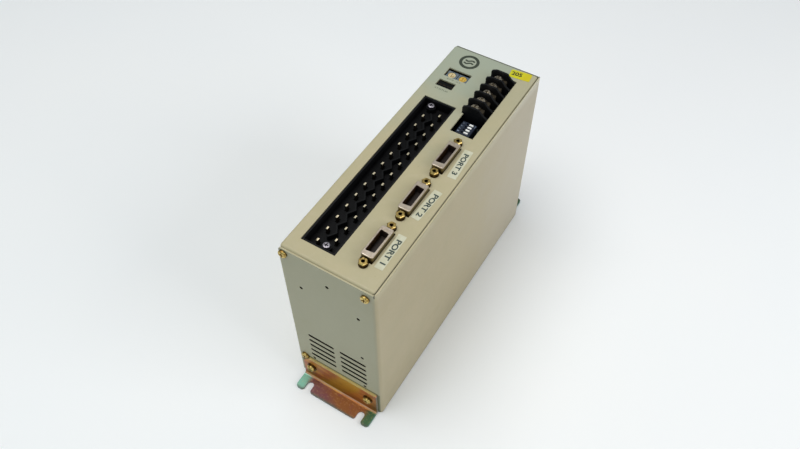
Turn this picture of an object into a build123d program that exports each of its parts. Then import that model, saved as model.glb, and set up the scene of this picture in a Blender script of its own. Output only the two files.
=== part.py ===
"""Slim book-shaped servo drive: folded steel case on two L-shaped mounting brackets.

Millimetres. X is the width, +Y points to the upper end of the wall-mounted drive, +Z points
out of the mounting wall to the front panel. The feet of the brackets rest on Z = 0.
"""
import os

from build123d import *

# ---- driving dimensions ---------------------------------------------------------------
WIDTH = 63.4
LENGTH = 200.0
HEIGHT = 143.0
SHEET = 1.0
SEAM = 0.35
BEND = 1.8
COVER_BEND = 2.5
FIT = 0.1

END = LENGTH / 2
SIDE = WIDTH / 2
PANEL_TOP = HEIGHT
PANEL_BACK = HEIGHT - SHEET
BACK_Z = 0.5
WALL_BOTTOM = BACK_Z + SHEET + 0.2

# mounting brackets
BRACKET_T = 1.6
BRACKET_HALF = 29.0
FLANGE_TOP = 24.0
FOOT_REACH = 13.8
FOOT_RECESS = 0.6
SLOT_X = 20.5
SLOT_W = 5.0
SLOT_END = 6.0
BRACKET_SCREW = (22.3, 15.0)

# near end: x, z (the far end is the near end turned half round, but for its two upper screws)
UPPER_SCREWS = [(-28.6, 138.2), (25.2, 136.2)]
FAR_UPPER_SCREWS = [(-25.2, 137.0), (25.2, 137.0)]
LOWER_SCREW = (-27.3, 24.8)
SPARE_HOLES = [(-20.1, 110.4), (-0.6, 126.2), (19.1, 109.6), (19.4, 64.9), (19.6, 27.4), (-19.9, 27.4)]
SPARE_R = 1.2
VENT_ROWS = 5
VENT_PITCH = 5.9
VENT_FIRST_Z = 32.2
VENT_X = (2.1, 21.6)
VENT_H = 2.6

# power header
HEADER_X = (-23.95, -1.15)
HEADER_Y = (-89.5, 45.0)
PIN_PITCH = 9.52
PINS_PER_ROW = 13
PIN_ROWS = [(-16.95, -83.5), (-7.9, -78.5)]
HEADER_SCREWS = [(-10.3, -84.6), (-17.0, 40.8)]
HEADER_FLOOR = PANEL_TOP - 6.8
HEADER_RIM = PANEL_TOP - 0.4
HEADER_BOTTOM = PANEL_TOP - 18.0

# three identical shrouded connectors
CONNECTOR_X = 15.0
CONNECTOR_Y = [-71.8, -34.2, 3.4]
SHELL_W = 7.8
SHELL_L = 22.4
SHELL_TOP = PANEL_TOP + 4.3
JACK_SPACING = 28.4
JACK_TOP = PANEL_TOP + 3.2
JACK_R = 2.9
CAVITY_W = 5.5
CAVITY_LONG = 16.0
CAVITY_SHORT = 14.6
CAVITY_FLOOR = PANEL_TOP - 1.5
CONTACT_PITCH = 1.27
CONTACTS_PER_ROW = 10

# terminal block and small switches
OPENING_X = (4.9, 20.7)
OPENING_Y = (25.8, 86.4)
TERMINAL_EDGE_X = 3.4
TERMINAL_X = 10.2
TERMINAL_PITCH = 7.83
TERMINAL_FIRST_Y = 48.2
TERMINALS = 5
TERMINAL_DECK = PANEL_TOP + 0.3
BARRIER_TOP = PANEL_TOP + 6.3
DIP_X = 11.9
DIP_Y = 34.1
DIP_PITCH = 2.54
DIP_LEVERS = 4
DIP_TOP = PANEL_TOP - 2.4
DIP_TRAVEL = 1.9
ROTARY_X = [-19.5, -11.4]
ROTARY_Y = 72.2
ROTARY_TOP = PANEL_TOP - 1.6
ROTARY_WINDOW = (-23.6, -7.0, 68.0, 76.6)
DISPLAY_WINDOW = (-23.8, -11.8, 57.4, 63.8)

# stickers: centre x, y, width, length, turn
LABELS = [(23.2, -71.5, 5.2, 25.8, 0.7), (23.1, -33.1, 5.4, 24.5, -3.9), (24.3, 4.1, 5.6, 24.5, 3.2)]
TAG = (19.9, 93.2, 14.2, 7.4, 6.4)

# inner pieces
BOARD_T = 1.6
SINK_TOP = 50.0
SINK_BASE = 44.0
SINK_HALF = 29.2
RAIL_INNER = 20.4
POWER_BOARD_X = -26.6
CONTROL_BOARD_X = 24.2
SWITCH_BOARD_Z = PANEL_TOP - 10.6
BACK_SCREWS = [(-24.4, -84.0), (24.4, -84.0), (-24.4, 84.0), (24.4, 84.0)]
MODULE_SCREWS = [(0.0, -74.0), (0.0, 6.0), (0.0, 52.0)]
BOARD_HALF = 93.0
BOARD_Z = (52.0, 120.0)
STANDOFFS = [(-86.0, 57.5), (-86.0, 112.0), (86.0, 57.5), (86.0, 112.0)]

os.makedirs("parts", exist_ok=True)


# ---- small building functions -----------------------------------------------------------
def slab(x0, x1, y0, y1, z0, z1):
    """Box between two corners."""
    centre = Pos((x0 + x1) / 2, (y0 + y1) / 2, (z0 + z1) / 2)
    return centre * Box(abs(x1 - x0), abs(y1 - y0), abs(z1 - z0))


def rod_z(x, y, radius, z0, z1):
    """Round bar along Z."""
    return Pos(x, y, (z0 + z1) / 2) * Cylinder(radius, z1 - z0)


def rod_y(x, z, radius, y0, y1):
    """Round bar along Y."""
    return Pos(x, (y0 + y1) / 2, z) * Rot(90, 0, 0) * Cylinder(radius, abs(y1 - y0))


def rod_x(y, z, radius, x0, x1):
    """Round bar along X."""
    return Pos((x0 + x1) / 2, y, z) * Rot(0, 90, 0) * Cylinder(radius, abs(x1 - x0))


def half_turn(shape):
    """The same piece at the other end of the drive."""
    return Rot(0, 0, 180) * shape


def joined(shapes):
    """One solid from overlapping shapes."""
    whole = shapes[0]
    for extra in shapes[1:]:
        whole = whole + extra
    return whole


def save(name, shape):
    """Write one node; a list is a group of separate solids."""
    if isinstance(shape, list):
        shape = Compound(children=[s for item in shape for s in item.solids()])
    export_step(shape, f"parts/{name}.step")


def edges_near(shape, axis, test):
    """Straight edges along an axis whose centre passes a test."""
    return [e for e in shape.edges().filter_by(axis) if test(e.center())]


def pan_screw(head_r, head_h, shank_r, shank_len, washer_r=0.0):
    """Cross-recessed pan-head screw: head above the XY plane, shank below it."""
    head = Pos(0, 0, head_h / 2) * Cylinder(head_r, head_h)
    head = fillet(head.edges().group_by(Axis.Z)[-1], head_h * 0.55)
    recess = Pos(0, 0, head_h) * (Box(head_r * 1.15, 0.75, 1.6) + Box(0.75, head_r * 1.15, 1.6))
    shank = Pos(0, 0, -shank_len / 2) * Cylinder(shank_r, shank_len)
    screw = (head - recess) + shank
    if washer_r:
        washer = Pos(0, 0, 0.3) * Cylinder(washer_r, 0.6)
        screw = Pos(0, 0, 0.55) * (head - recess) + washer + shank
    return screw


def on_near_end(x, z, y, shape):
    """Turn a screw so that its head faces -Y and put it on the near end."""
    return Pos(x, y, z) * Rot(90, 0, 0) * shape


# ---- folded sheet case --------------------------------------------------------------------
def front_cutouts():
    """Everything that is punched through the front panel."""
    z0 = PANEL_BACK - 1
    z1 = PANEL_TOP + 1
    cuts = [
        slab(*HEADER_X, *HEADER_Y, z0, z1),
        slab(*OPENING_X, *OPENING_Y, z0, z1),
        slab(TERMINAL_EDGE_X, OPENING_X[1], terminal_y(0) - TERMINAL_PITCH / 2 - 1.2, OPENING_Y[1], z0, z1),
        slab(*ROTARY_WINDOW, z0, z1),
        slab(*DISPLAY_WINDOW, z0, z1),
    ]
    for y in CONNECTOR_Y:
        x_half = SHELL_W / 2 + 0.15
        y_half = SHELL_L / 2 + 0.9
        cuts.append(slab(CONNECTOR_X - x_half, CONNECTOR_X + x_half, y - y_half, y + y_half, z0, z1))
        for side in (-1, 1):
            cuts.append(rod_z(CONNECTOR_X, y + side * JACK_SPACING / 2, 1.65, z0, z1))
    return cuts


def make_chassis():
    """Front panel and left wall folded from one sheet, with short flanges behind both ends."""
    end = END - SHEET - FIT
    right = SIDE - SHEET - SEAM
    outer = slab(-SIDE, right, -end, end, WALL_BOTTOM, PANEL_TOP)
    outer = fillet(edges_near(outer, Axis.Y, lambda c: c.X < 0 and c.Z > HEIGHT / 2), BEND)
    outer = fillet(edges_near(outer, Axis.X, lambda c: c.Z > HEIGHT / 2), BEND)
    outer = fillet(edges_near(outer, Axis.Z, lambda c: c.X > 0), COVER_BEND - SHEET + 0.2)
    inner = slab(-SIDE + SHEET, SIDE, -end + SHEET, end - SHEET, 0, PANEL_BACK)
    shell = outer - inner
    # the ends keep a flange under the front panel and one beside the left wall
    window_front = slab(-SIDE + SHEET, SIDE, -END, END, 0, PANEL_TOP - 14.0)
    flange_left = slab(-SIDE, -21.6, -END, END, 64.0, 116.0)
    shell = shell - (window_front - flange_left)
    shell = shell - front_cutouts()
    for x, z in UPPER_SCREWS:
        shell = shell - rod_y(x, z, 1.55, -END, 0)
    for x, z in FAR_UPPER_SCREWS:
        shell = shell - rod_y(x, z, 1.55, 0, END)
    return shell


def make_cover():
    """Right wall and both ends folded from one sheet, wrapped round the chassis."""
    outer = slab(-SIDE, SIDE, -END, END, WALL_BOTTOM, PANEL_TOP - 0.3)
    outer = fillet(edges_near(outer, Axis.Z, lambda c: c.X > 0), COVER_BEND)
    inner = slab(-SIDE - 1, SIDE - SHEET, -END + SHEET, END - SHEET, 0, HEIGHT)
    inner = fillet(edges_near(inner, Axis.Z, lambda c: c.X > 0), COVER_BEND - SHEET)
    cover = outer - inner
    cover = cover - slab(-SIDE - 1, SIDE - SHEET, -END - 1, END + 1, PANEL_TOP - 1.2, HEIGHT)
    cover = fillet(edges_near(cover, Axis.Y, lambda c: c.X < 0 and c.Z > HEIGHT / 2), BEND)
    cuts = []
    for row in range(VENT_ROWS):
        z = VENT_FIRST_Z + row * VENT_PITCH
        for side in (-1, 1):
            x0, x1 = sorted((side * VENT_X[0], side * VENT_X[1]))
            slot = slab(x0, x1, -END - 1, -END + 3, z - VENT_H / 2, z + VENT_H / 2)
            cuts.append(fillet(slot.edges().filter_by(Axis.Y), VENT_H * 0.45))
    for x, z in SPARE_HOLES:
        cuts.append(rod_y(x, z, SPARE_R, -END - 1, -END + 3))
    cuts.append(rod_y(*LOWER_SCREW, 1.6, -END - 1, -END + 3))
    for side in (-1, 1):
        cuts.append(rod_y(side * BRACKET_SCREW[0], BRACKET_SCREW[1], 2.1, -END - 1, -END + 3))
    for cut in cuts:
        cover = cover - cut - half_turn(cut)
    for x, z in UPPER_SCREWS:
        cover = cover - rod_y(x, z, 1.6, -END - 1, -END + 3)
    for x, z in FAR_UPPER_SCREWS:
        cover = cover - rod_y(x, z, 1.6, END - 3, END + 1)
    return cover


def make_back_plate():
    """Flat sheet that closes the back between the brackets."""
    plate = slab(-SIDE + 0.2, SIDE - 0.2, -END + 0.1, END - 0.1, BACK_Z, BACK_Z + SHEET)
    plate = fillet(plate.edges().filter_by(Axis.Z), 2.0)
    for x, y in BACK_SCREWS:
        plate = plate - rod_z(x, y, 1.7, 0, 3)
        plate = plate - Pos(x, y, BACK_Z + SHEET / 2) * Cone(3.1, 1.7, SHEET)
    return plate


def make_back_screws():
    """Countersunk screws that hold the back plate to the rails of the heat sink."""
    screws = []
    for x, y in BACK_SCREWS:
        head = Pos(x, y, BACK_Z + SHEET / 2) * Cone(3.0, 1.6, SHEET)
        recess = Pos(x, y, BACK_Z) * (Box(3.2, 0.7, 1.2) + Box(0.7, 3.2, 1.2))
        screws.append((head + rod_z(x, y, 1.45, BACK_Z + 0.9, 9.5)) - recess)
    return screws


# ---- brackets -------------------------------------------------------------------------------
def make_bracket():
    """L-shaped plated bracket with two open slots in its foot, on the near end."""
    flange = slab(-BRACKET_HALF, BRACKET_HALF, -END - BRACKET_T, -END, 0, FLANGE_TOP)
    foot = slab(-BRACKET_HALF, BRACKET_HALF, -END - FOOT_REACH, -END, 0, BRACKET_T)
    bracket = flange + foot
    inside = edges_near(bracket, Axis.X, lambda c: c.Y < -END - 1 and 1 < c.Z < 3 and c.Y > -END - 3)
    bracket = fillet(inside, 1.8)
    outside = edges_near(bracket, Axis.X, lambda c: abs(c.Y + END) < 0.1 and c.Z < 0.1)
    bracket = fillet(outside, 3.3)
    bracket = fillet(edges_near(bracket, Axis.Z, lambda c: c.Y < -END - FOOT_REACH + 0.1), 2.4)
    for side in (-1, 1):
        x = side * SLOT_X
        closed_y = -END - SLOT_END
        slot = slab(x - SLOT_W / 2, x + SLOT_W / 2, -END - 20, closed_y - SLOT_W / 2, -1, 3)
        slot = slot + rod_z(x, closed_y - SLOT_W / 2, SLOT_W / 2, -1, 3)
        bracket = bracket - slot
        bracket = bracket - rod_y(side * BRACKET_SCREW[0], BRACKET_SCREW[1], 2.1, -END - 3, -END + 1)
    recess_y = -END - FOOT_REACH + FOOT_RECESS
    bracket = bracket - slab(-SLOT_X, SLOT_X, -END - FOOT_REACH - 1, recess_y, -1, 3)
    mouth = edges_near(bracket, Axis.Z, lambda c: c.Y < recess_y + 0.1 and abs(c.X) < 24)
    bracket = fillet(mouth, 1.8)
    # the upper left corner of the flange is cut back to clear a cover screw
    edge = -BRACKET_HALF - 1
    corner = Polyline((edge, 16.6), (-24.0, FLANGE_TOP + 0.4), (edge, FLANGE_TOP + 0.4), close=True)
    cut = extrude(Plane.XZ * make_face(corner), amount=4, both=True)
    bracket = bracket - Pos(0, -END, 0) * cut
    right_corner = edges_near(bracket, Axis.Y, lambda c: c.X > BRACKET_HALF - 1 and c.Z > FLANGE_TOP - 0.1)
    return fillet(right_corner, 1.6)


def make_bracket_screws():
    """Four pan-head screws with washers through brackets and cover into the heat sink rails."""
    screws = []
    for side in (-1, 1):
        screw = pan_screw(2.9, 2.0, 1.75, 12.0, washer_r=3.6)
        placed = on_near_end(side * BRACKET_SCREW[0], BRACKET_SCREW[1], -END - BRACKET_T, screw)
        screws += [placed, half_turn(placed)]
    return screws


def make_cover_screws():
    """Small plated screws that hold the cover's ends."""
    screw = pan_screw(2.75, 1.9, 1.4, 7.5)
    lower = on_near_end(*LOWER_SCREW, -END, screw)
    screws = [lower, half_turn(lower)]
    screws += [on_near_end(x, z, -END, screw) for x, z in UPPER_SCREWS]
    screws += [half_turn(on_near_end(-x, z, -END, screw)) for x, z in FAR_UPPER_SCREWS]
    return screws


# ---- heat sink and power parts ----------------------------------------------------------------
def make_heatsink():
    """Extruded aluminium sink: flat top for the modules, fins towards the back, two thick rails."""
    length = END - SHEET * 2 - 0.6
    parts = [slab(-SINK_HALF, SINK_HALF, -length, length, SINK_BASE, SINK_TOP)]
    fin_bottom = BACK_Z + SHEET + 0.1
    for side in (-1, 1):
        x0, x1 = sorted((side * RAIL_INNER, side * SINK_HALF))
        parts.append(slab(x0, x1, -length, length, fin_bottom, SINK_BASE))
    for i in range(-3, 4):
        parts.append(slab(i * 5.2 - 0.9, i * 5.2 + 0.9, -length, length, 4.0, SINK_BASE))
    sink = joined(parts)
    for side in (-1, 1):
        hole = rod_y(side * BRACKET_SCREW[0], BRACKET_SCREW[1], 1.8, -length - 1, -length + 13)
        sink = sink - hole - half_turn(hole)
    hole = rod_y(*LOWER_SCREW, 1.45, -length - 1, -length + 8)
    sink = sink - hole - half_turn(hole)
    for x, y in BACK_SCREWS:
        sink = sink - rod_z(x, y, 1.5, 0, 12)
    for x, y in MODULE_SCREWS:
        sink = sink - rod_z(x, y, 1.75, SINK_TOP - 9, SINK_TOP + 1)
    return sink


def make_power_module():
    """Moulded power transistor module with a row of upright pins on each long side."""
    body = slab(-22, 22, -79, 11, SINK_TOP, SINK_TOP + 10)
    body = chamfer(body.edges().group_by(Axis.Z)[-1], 1.2)
    for x, y in MODULE_SCREWS[:2]:
        body = body - rod_z(x, y, 1.9, SINK_TOP - 1, SINK_TOP + 12)
        body = body - rod_z(x, y, 4.4, SINK_TOP + 4, SINK_TOP + 12)
    pins = []
    for i in range(12):
        for x in (-19.5, 19.5):
            y = -70.0 + i * 6.2
            pins.append(slab(x - 0.3, x + 0.3, y - 0.6, y + 0.6, SINK_TOP + 9, SINK_TOP + 16))
    return joined([body] + pins)


def make_rectifier():
    """Bridge rectifier block screwed to the heat sink."""
    body = slab(-14, 14, 38, 66, SINK_TOP, SINK_TOP + 7)
    body = chamfer(body.edges().filter_by(Axis.Z), 2.0)
    x, y = MODULE_SCREWS[2]
    body = body - rod_z(x, y, 1.9, SINK_TOP - 1, SINK_TOP + 12)
    tabs = []
    for tab_x in (-10, 10):
        for tab_y in (43, 61):
            tabs.append(slab(tab_x - 0.4, tab_x + 0.4, tab_y - 3, tab_y + 3, SINK_TOP + 6, SINK_TOP + 15))
    return joined([body] + tabs)


def make_module_screws():
    """Screws that clamp the module and the rectifier to the heat sink."""
    seats = [SINK_TOP + 4, SINK_TOP + 4, SINK_TOP + 7]
    screws = []
    for (x, y), seat in zip(MODULE_SCREWS, seats):
        screws.append(Pos(x, y, seat) * pan_screw(3.3, 2.2, 1.7, seat - SINK_TOP + 8))
    return screws


# ---- circuit boards and what is on them ----------------------------------------------------------
def board_with_holes(x0):
    """Upright circuit board with a hole at each standoff."""
    board = slab(x0, x0 + BOARD_T, -BOARD_HALF, BOARD_HALF, *BOARD_Z)
    board = fillet(board.edges().filter_by(Axis.X), 2.0)
    for y, z in STANDOFFS:
        board = board - rod_x(y, z, 1.6, x0 - 1, x0 + 3)
    return board


def make_switch_board():
    """Flat board behind the front panel that carries the switches, display and terminal block."""
    z = SWITCH_BOARD_Z
    board = slab(-24.0, 22.6, 46.5, 92.0, z, z + BOARD_T)
    board = board + slab(3.0, 22.6, 22.5, 47.0, z, z + BOARD_T)
    for i in range(TERMINALS):
        board = board - rod_z(TERMINAL_X, TERMINAL_FIRST_Y + i * TERMINAL_PITCH, 2.0, z - 1, z + 3)
    return board


def make_bus_capacitors():
    """Three electrolytic cans lying across the case, soldered to the power board."""
    face = POWER_BOARD_X + BOARD_T
    cans = []
    for y in (-64.0, -37.0, -10.0):
        can = rod_x(y, 84.0, 12.5, face, face + 36)
        can = fillet(can.edges().group_by(Axis.X)[-1], 1.5)
        groove = rod_x(y, 84.0, 12.7, face + 2.6, face + 4.0) - rod_x(y, 84.0, 11.8, face + 2.6, face + 4.0)
        cans.append(can - groove)
    return cans


def make_relay():
    """Inrush relay in its moulded case."""
    face = POWER_BOARD_X + BOARD_T
    case = slab(face, face + 15.5, 12, 32, 74, 98)
    return fillet(case.edges(), 1.0)


def make_transformer():
    """Small switching transformer: ferrite core with a taped winding between its legs."""
    face = POWER_BOARD_X + BOARD_T
    core = slab(face, face + 20, 38, 66, 74, 98) - slab(face - 1, face + 21, 42, 62, 78, 94)
    winding = slab(face, face + 20, 42.2, 61.8, 78.2, 93.8)
    return [core, fillet(winding.edges().filter_by(Axis.X), 3.0)]


def make_current_sensors():
    """Two ring-shaped current sensors on the motor leads."""
    face = POWER_BOARD_X + BOARD_T
    sensors = []
    for y in (16.0, 40.0):
        body = slab(face, face + 9, y - 9, y + 9, 102, 118)
        body = fillet(body.edges().filter_by(Axis.X), 2.0)
        sensors.append(body - rod_x(y, 110, 4.0, face - 1, face + 10))
    return sensors


def make_control_chips():
    """Processor, gate array and memories on the inner face of the control board."""
    face = CONTROL_BOARD_X
    sizes = [(-20, 92, 24, 24), (-52, 92, 20, 20), (12, 96, 18, 8), (12, 84, 18, 8), (44, 90, 12, 12)]
    chips = []
    for y, z, long, high in sizes:
        chip = slab(face - 2.4, face, y - long / 2, y + long / 2, z - high / 2, z + high / 2)
        chips.append(chamfer(chip.edges().group_by(Axis.X)[0], 0.4))
    return chips


def make_board_plugs():
    """Two box headers that take the ends of the flat cable."""
    left = POWER_BOARD_X + BOARD_T
    right = CONTROL_BOARD_X
    return [slab(left, left + 8, 68, 90, 63, 69.5), slab(right - 8, right, 68, 90, 63, 69.5)]


def make_ribbon_cable():
    """Flat cable between the two upright boards, bowed so that the boards can be folded apart."""
    x0 = POWER_BOARD_X + BOARD_T + 8
    x1 = CONTROL_BOARD_X - 8
    left_run = [(x0 - 1, 66.2), (x0 + 7, 66.2), (x0 + 10, 76)]
    right_run = [(x1 - 10, 76), (x1 - 7, 66.2), (x1 + 1, 66.2)]
    path = FilletPolyline(*left_run, *right_run, radius=2.5)
    outline = offset(path, amount=0.5, side=Side.BOTH)
    face = Plane.XZ * make_face(outline)
    ribbon = Pos(0, 89, 0) * extrude(face, amount=20)
    return ribbon & slab(x0, x1, 60, 100, 60, 80)


def make_standoffs():
    """Spacers: short ones off the left wall, long ones between the two upright boards."""
    posts = []
    left_wall = -SIDE + SHEET
    for y, z in STANDOFFS:
        short = rod_x(y, z, 3.0, left_wall, POWER_BOARD_X)
        short = short - rod_x(y, z, 1.5, POWER_BOARD_X - 3.2, POWER_BOARD_X)
        face = POWER_BOARD_X + BOARD_T
        post = Pos((face + CONTROL_BOARD_X) / 2, y, z) * Rot(0, 90, 0)
        long = post * extrude(RegularPolygon(3.2, 6), amount=(CONTROL_BOARD_X - face) / 2, both=True)
        long = long + rod_x(y, z, 1.45, POWER_BOARD_X - 3.0, face + 0.5)
        long = long - rod_x(y, z, 1.5, CONTROL_BOARD_X - 8, CONTROL_BOARD_X + 1)
        posts += [short, long]
    return posts


def make_board_screws():
    """Screws through the control board into the long standoffs."""
    screws = []
    for y, z in STANDOFFS:
        place = Pos(CONTROL_BOARD_X + BOARD_T, y, z) * Rot(0, 90, 0)
        screws.append(place * pan_screw(2.75, 1.9, 1.4, 7.0))
    return screws


def make_insulating_sheet():
    """Thin insulating sheet between the power board and the left wall."""
    sheet = slab(-28.2, -27.8, -92, 92, *BOARD_Z)
    for y, z in STANDOFFS:
        sheet = sheet - rod_x(y, z, 3.2, -30, -26)
    return sheet


# ---- power header ------------------------------------------------------------------------------
def make_header_body():
    """Long open-topped plastic header with a folded rib between its two pin rows."""
    x0, x1 = HEADER_X[0] + 0.2, HEADER_X[1] - 0.2
    y0, y1 = HEADER_Y[0] + 0.2, HEADER_Y[1] - 0.2
    body = slab(x0, x1, y0, y1, HEADER_BOTTOM, HEADER_RIM)
    body = body - slab(x0 + 1.2, x1 - 1.2, y0 + 1.2, y1 - 1.2, HEADER_FLOOR, HEADER_RIM + 1)
    middle = (PIN_ROWS[0][0] + PIN_ROWS[1][0]) / 2
    rib_top = HEADER_FLOOR + 3.4
    left = []
    right = []
    for i in range(1, 2 * PINS_PER_ROW):
        x = middle + (1.5 if i % 2 == 0 else -1.5)
        y = PIN_ROWS[0][1] + i * PIN_PITCH / 2
        left.append((x - 0.55, y))
        right.append((x + 0.55, y))
    outline = Polyline(*left, *reversed(right), close=True)
    rib_foot = HEADER_FLOOR - 0.5
    rib = extrude(Plane.XY.offset(rib_foot) * make_face(outline), amount=rib_top - rib_foot)
    bosses = [rod_z(x, y, 3.0, HEADER_FLOOR - 0.5, HEADER_RIM - 3.0) for x, y in HEADER_SCREWS]
    foot_x = POWER_BOARD_X + BOARD_T + 0.6
    feet = [slab(foot_x, x0 + 0.5, y, y + 12, HEADER_BOTTOM, HEADER_BOTTOM + 5) for y in (-80, 20)]
    body = joined([body, rib] + bosses + feet)
    for x, y in HEADER_SCREWS:
        body = body - rod_z(x, y, 1.5, HEADER_BOTTOM - 1, HEADER_RIM)
    for x, y in header_pin_places():
        body = body - slab(x - 0.6, x + 0.6, y - 1.05, y + 1.05, HEADER_BOTTOM - 1, HEADER_RIM)
        body = body - slab(x - 1.1, x + 1.1, y - 1.6, y + 1.6, HEADER_FLOOR - 0.8, HEADER_RIM)
    return body


def header_pin_places():
    """Pin centres, row by row; the second row is staggered by half a pitch."""
    return [(x, first + i * PIN_PITCH) for x, first in PIN_ROWS for i in range(PINS_PER_ROW)]


def make_header_pins():
    """Flat tab pins with chamfered tips that run down through the header's floor."""
    pins = []
    for x, y in header_pin_places():
        pin = slab(x - 0.55, x + 0.55, y - 1.0, y + 1.0, HEADER_BOTTOM - 3, HEADER_FLOOR + 4.4)
        pins.append(chamfer(pin.edges().group_by(Axis.Z)[-1], 0.3))
    return pins


def make_header_screws():
    """One screw at each end of the header."""
    return [Pos(x, y, HEADER_RIM - 3.0) * pan_screw(2.3, 1.6, 1.4, 12.0) for x, y in HEADER_SCREWS]


# ---- shrouded connectors -------------------------------------------------------------------------
def d_outline(width, long_side, short_side, radius=0.7):
    """D-shaped outline: long side at -X, short side at +X, rounded corners."""
    line = Polyline(
        (-width / 2, -long_side / 2),
        (-width / 2, long_side / 2),
        (width / 2, short_side / 2),
        (width / 2, -short_side / 2),
        close=True,
    )
    face = make_face(line)
    return fillet(face.vertices(), radius)


def rounded_block(width, length, radius, z0, z1):
    """Upright block with rounded corners, centred on the Z axis."""
    return Pos(0, 0, z0) * extrude(RectangleRounded(width, length, radius), amount=z1 - z0)


def make_connector_shell():
    """Drawn metal shell with a D-shaped mouth and a flange that sits behind the front panel."""
    z_flange = (PANEL_BACK - 1.2, PANEL_BACK - 0.2)
    shell = rounded_block(SHELL_W, SHELL_L, 1.2, z_flange[0], SHELL_TOP)
    shell = fillet(shell.edges().group_by(Axis.Z)[-1], 0.45)
    shell = shell - rounded_block(SHELL_W - 0.8, SHELL_L - 0.8, 0.8, z_flange[0] - 1, SHELL_TOP - 0.4)
    flange = rounded_block(SHELL_W + 0.8, JACK_SPACING + 7.0, 1.5, *z_flange)
    flange = flange - rounded_block(SHELL_W - 0.8, SHELL_L - 0.8, 0.8, z_flange[0] - 1, SHELL_TOP)
    shell = shell + flange
    for side in (-1, 1):
        shell = shell - rod_z(0, side * JACK_SPACING / 2, 1.6, z_flange[0] - 1, z_flange[1] + 1)
    mouth = d_outline(CAVITY_W + 0.2, CAVITY_LONG + 0.2, CAVITY_SHORT + 0.2)
    return shell - Pos(0, 0, SHELL_TOP - 2) * extrude(mouth, amount=4)


def make_connector_insert():
    """Moulded insert: D-shaped trough in front, a foot that reaches the control board behind."""
    top = SHELL_TOP - 0.45
    bottom = PANEL_TOP - 13.0
    insert = rounded_block(SHELL_W - 1.0, SHELL_L - 1.0, 0.7, bottom, top)
    insert = insert + slab(-3.0, CONTROL_BOARD_X - CONNECTOR_X - 0.1, -9, 9, bottom, bottom + 8)
    mouth = d_outline(CAVITY_W, CAVITY_LONG, CAVITY_SHORT)
    return insert - Pos(0, 0, CAVITY_FLOOR) * extrude(mouth, amount=10)


def make_connector_contacts():
    """Two rows of spring contacts lying on the long walls of the trough."""
    contacts = []
    span = (CONTACTS_PER_ROW - 1) * CONTACT_PITCH
    for side in (-1, 1):
        x0, x1 = sorted((side * CAVITY_W / 2, side * (CAVITY_W / 2 - 0.25)))
        for i in range(CONTACTS_PER_ROW):
            y = -span / 2 + i * CONTACT_PITCH
            contacts.append(slab(x0, x1, y - 0.28, y + 0.28, CAVITY_FLOOR, SHELL_TOP - 1.4))
    return contacts


def make_jackscrews():
    """Hexagonal jackscrews with a threaded socket, each on a thin washer."""
    pieces = []
    for yc in CONNECTOR_Y:
        for side in (-1, 1):
            y = yc + side * JACK_SPACING / 2
            place = Pos(CONNECTOR_X, y, PANEL_TOP + 0.5)
            head = extrude(RegularPolygon(JACK_R, 6), amount=JACK_TOP - PANEL_TOP - 0.5)
            head = chamfer(head.edges().group_by(Axis.Z)[-1], 0.4)
            body = place * head + rod_z(CONNECTOR_X, y, 1.5, PANEL_TOP - 8.5, PANEL_TOP + 0.6)
            body = body - rod_z(CONNECTOR_X, y, 1.15, JACK_TOP - 4.0, JACK_TOP + 1)
            washer = rod_z(CONNECTOR_X, y, JACK_R, PANEL_TOP, PANEL_TOP + 0.5)
            washer = washer - rod_z(CONNECTOR_X, y, 1.5, PANEL_TOP - 1, PANEL_TOP + 2)
            pieces += [body, washer]
    return pieces


# ---- terminal block ------------------------------------------------------------------------------
def terminal_y(i):
    """Centre of a terminal along the block."""
    return TERMINAL_FIRST_Y + i * TERMINAL_PITCH


def make_terminal_block():
    """Barrier block: deck, lower step on the wire side and six shaped barriers."""
    x0, x1 = TERMINAL_EDGE_X + 0.2, OPENING_X[1] - 0.2
    y0 = terminal_y(0) - TERMINAL_PITCH / 2 - 0.8
    y1 = terminal_y(TERMINALS - 1) + TERMINAL_PITCH / 2 + 0.8
    bottom = SWITCH_BOARD_Z + BOARD_T
    block = slab(x0, x1, y0, y1, bottom, PANEL_TOP - 4.0)
    block = block + slab(x0, 15.0, y0, y1, bottom, TERMINAL_DECK)
    profile = Polyline(
        (x0, bottom + 1),
        (x0, BARRIER_TOP - 1.6),
        (x0 + 3.4, BARRIER_TOP),
        (14.8, BARRIER_TOP),
        (17.6, PANEL_TOP + 3.2),
        (x1, PANEL_TOP + 1.2),
        (x1, bottom + 1),
        close=True,
    )
    face = make_face(profile)
    corners = face.vertices().sort_by(Axis.Y)[-5:]
    face = fillet(corners, 1.0)
    for i in range(TERMINALS + 1):
        y = terminal_y(0) - TERMINAL_PITCH / 2 + i * TERMINAL_PITCH
        wall = extrude(Plane.XZ * face, amount=0.7, both=True)
        block = block + Pos(0, y, 0) * wall
    for i in range(TERMINALS):
        block = block - rod_z(TERMINAL_X, terminal_y(i), 2.0, bottom - 1, TERMINAL_DECK + 1)
    return block


def make_terminal_plates():
    """Plated strip under each screw, stepped down towards the wire side."""
    plates = []
    for i in range(TERMINALS):
        y = terminal_y(i)
        top = TERMINAL_DECK + 0.8
        plate = slab(6.2, 15.6, y - 3.0, y + 3.0, TERMINAL_DECK, top)
        plate = plate + slab(15.1, 15.9, y - 2.4, y + 2.4, PANEL_TOP - 3.9, top)
        plate = plate - rod_z(TERMINAL_X, y, 1.8, TERMINAL_DECK - 1, top + 1)
        plates.append(plate)
    return plates


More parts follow.
